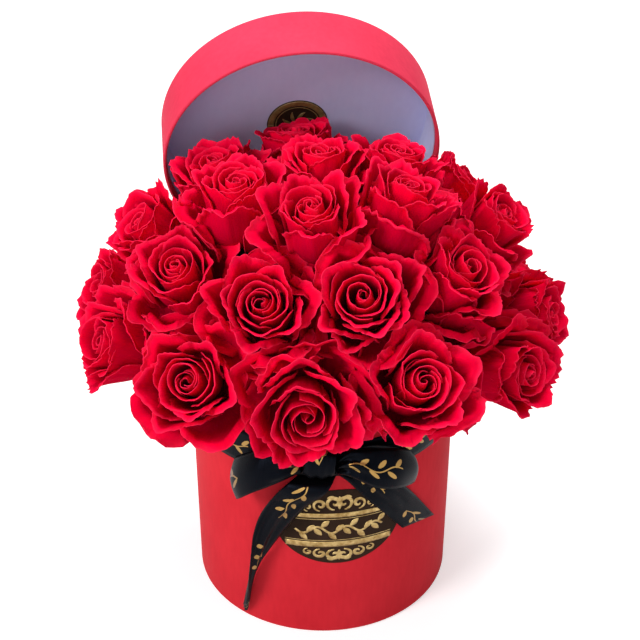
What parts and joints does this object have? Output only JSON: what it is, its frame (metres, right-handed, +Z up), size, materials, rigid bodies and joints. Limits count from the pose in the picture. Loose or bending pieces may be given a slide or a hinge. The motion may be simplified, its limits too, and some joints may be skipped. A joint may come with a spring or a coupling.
{
  "type": "flower box",
  "caption": "Round red hat box overfilled with a dome of red roses, tied with a black satin ribbon bow over an oval label; its lift-off lid stands open behind.",
  "frame": {"origin": "middle of the round base, on the surface that the box stands on", "axes": "+Z up along the axis of the box, -Y to the front with the label and the bow, +Y to the lid at the back"},
  "size_m": [0.3139, 0.2982, 0.3876],
  "materials": {
    "red_board": "matte",
    "lining_paper": "matte",
    "liner_film": "satin",
    "floral_foam": "matte",
    "rose_petals": "satin",
    "rose_stems": "satin",
    "satin_ribbon": "satin",
    "label_paper": "satin"
  },
  "bodies": {
    "box": {"bow_knot": "satin_ribbon", "bow_loop_left": "satin_ribbon", "bow_loop_right": "satin_ribbon", "bow_tail_left": "satin_ribbon", "bow_tail_right": "satin_ribbon", "box_base": "red_board", "box_wall": "red_board", "floral_foam": "floral_foam", "front_label": "label_paper", "ribbon_band": "satin_ribbon", "rose_01": "rose_petals", "rose_02": "rose_petals", "rose_03": "rose_petals", "rose_04": "rose_petals", "rose_05": "rose_petals", "rose_06": "rose_petals", "rose_07": "rose_petals", "rose_08": "rose_petals", "rose_09": "rose_petals", "rose_10": "rose_petals", "rose_11": "rose_petals", "rose_12": "rose_petals", "rose_13": "rose_petals", "rose_14": "rose_petals", "rose_15": "rose_petals", "rose_16": "rose_petals", "rose_17": "rose_petals", "rose_18": "rose_petals", "rose_19": "rose_petals", "rose_20": "rose_petals", "rose_21": "rose_petals", "rose_22": "rose_petals", "rose_23": "rose_petals", "rose_24": "rose_petals", "rose_25": "rose_petals", "rose_26": "rose_petals", "rose_stems": "rose_stems", "waterproof_liner": "liner_film"},
    "lid": {"lid_lining": "lining_paper", "lid_panel": "red_board", "lid_sticker": "label_paper", "lid_wall": "red_board", "lid_wall_lining": "lining_paper"}
  },
  "joints": [
    {"name": "lid_lift_off", "type": "slide", "parent": "box", "child": "lid", "axis": [0, 0.9225, 0.3859], "range_m": [0, 0.15]}
  ]
}
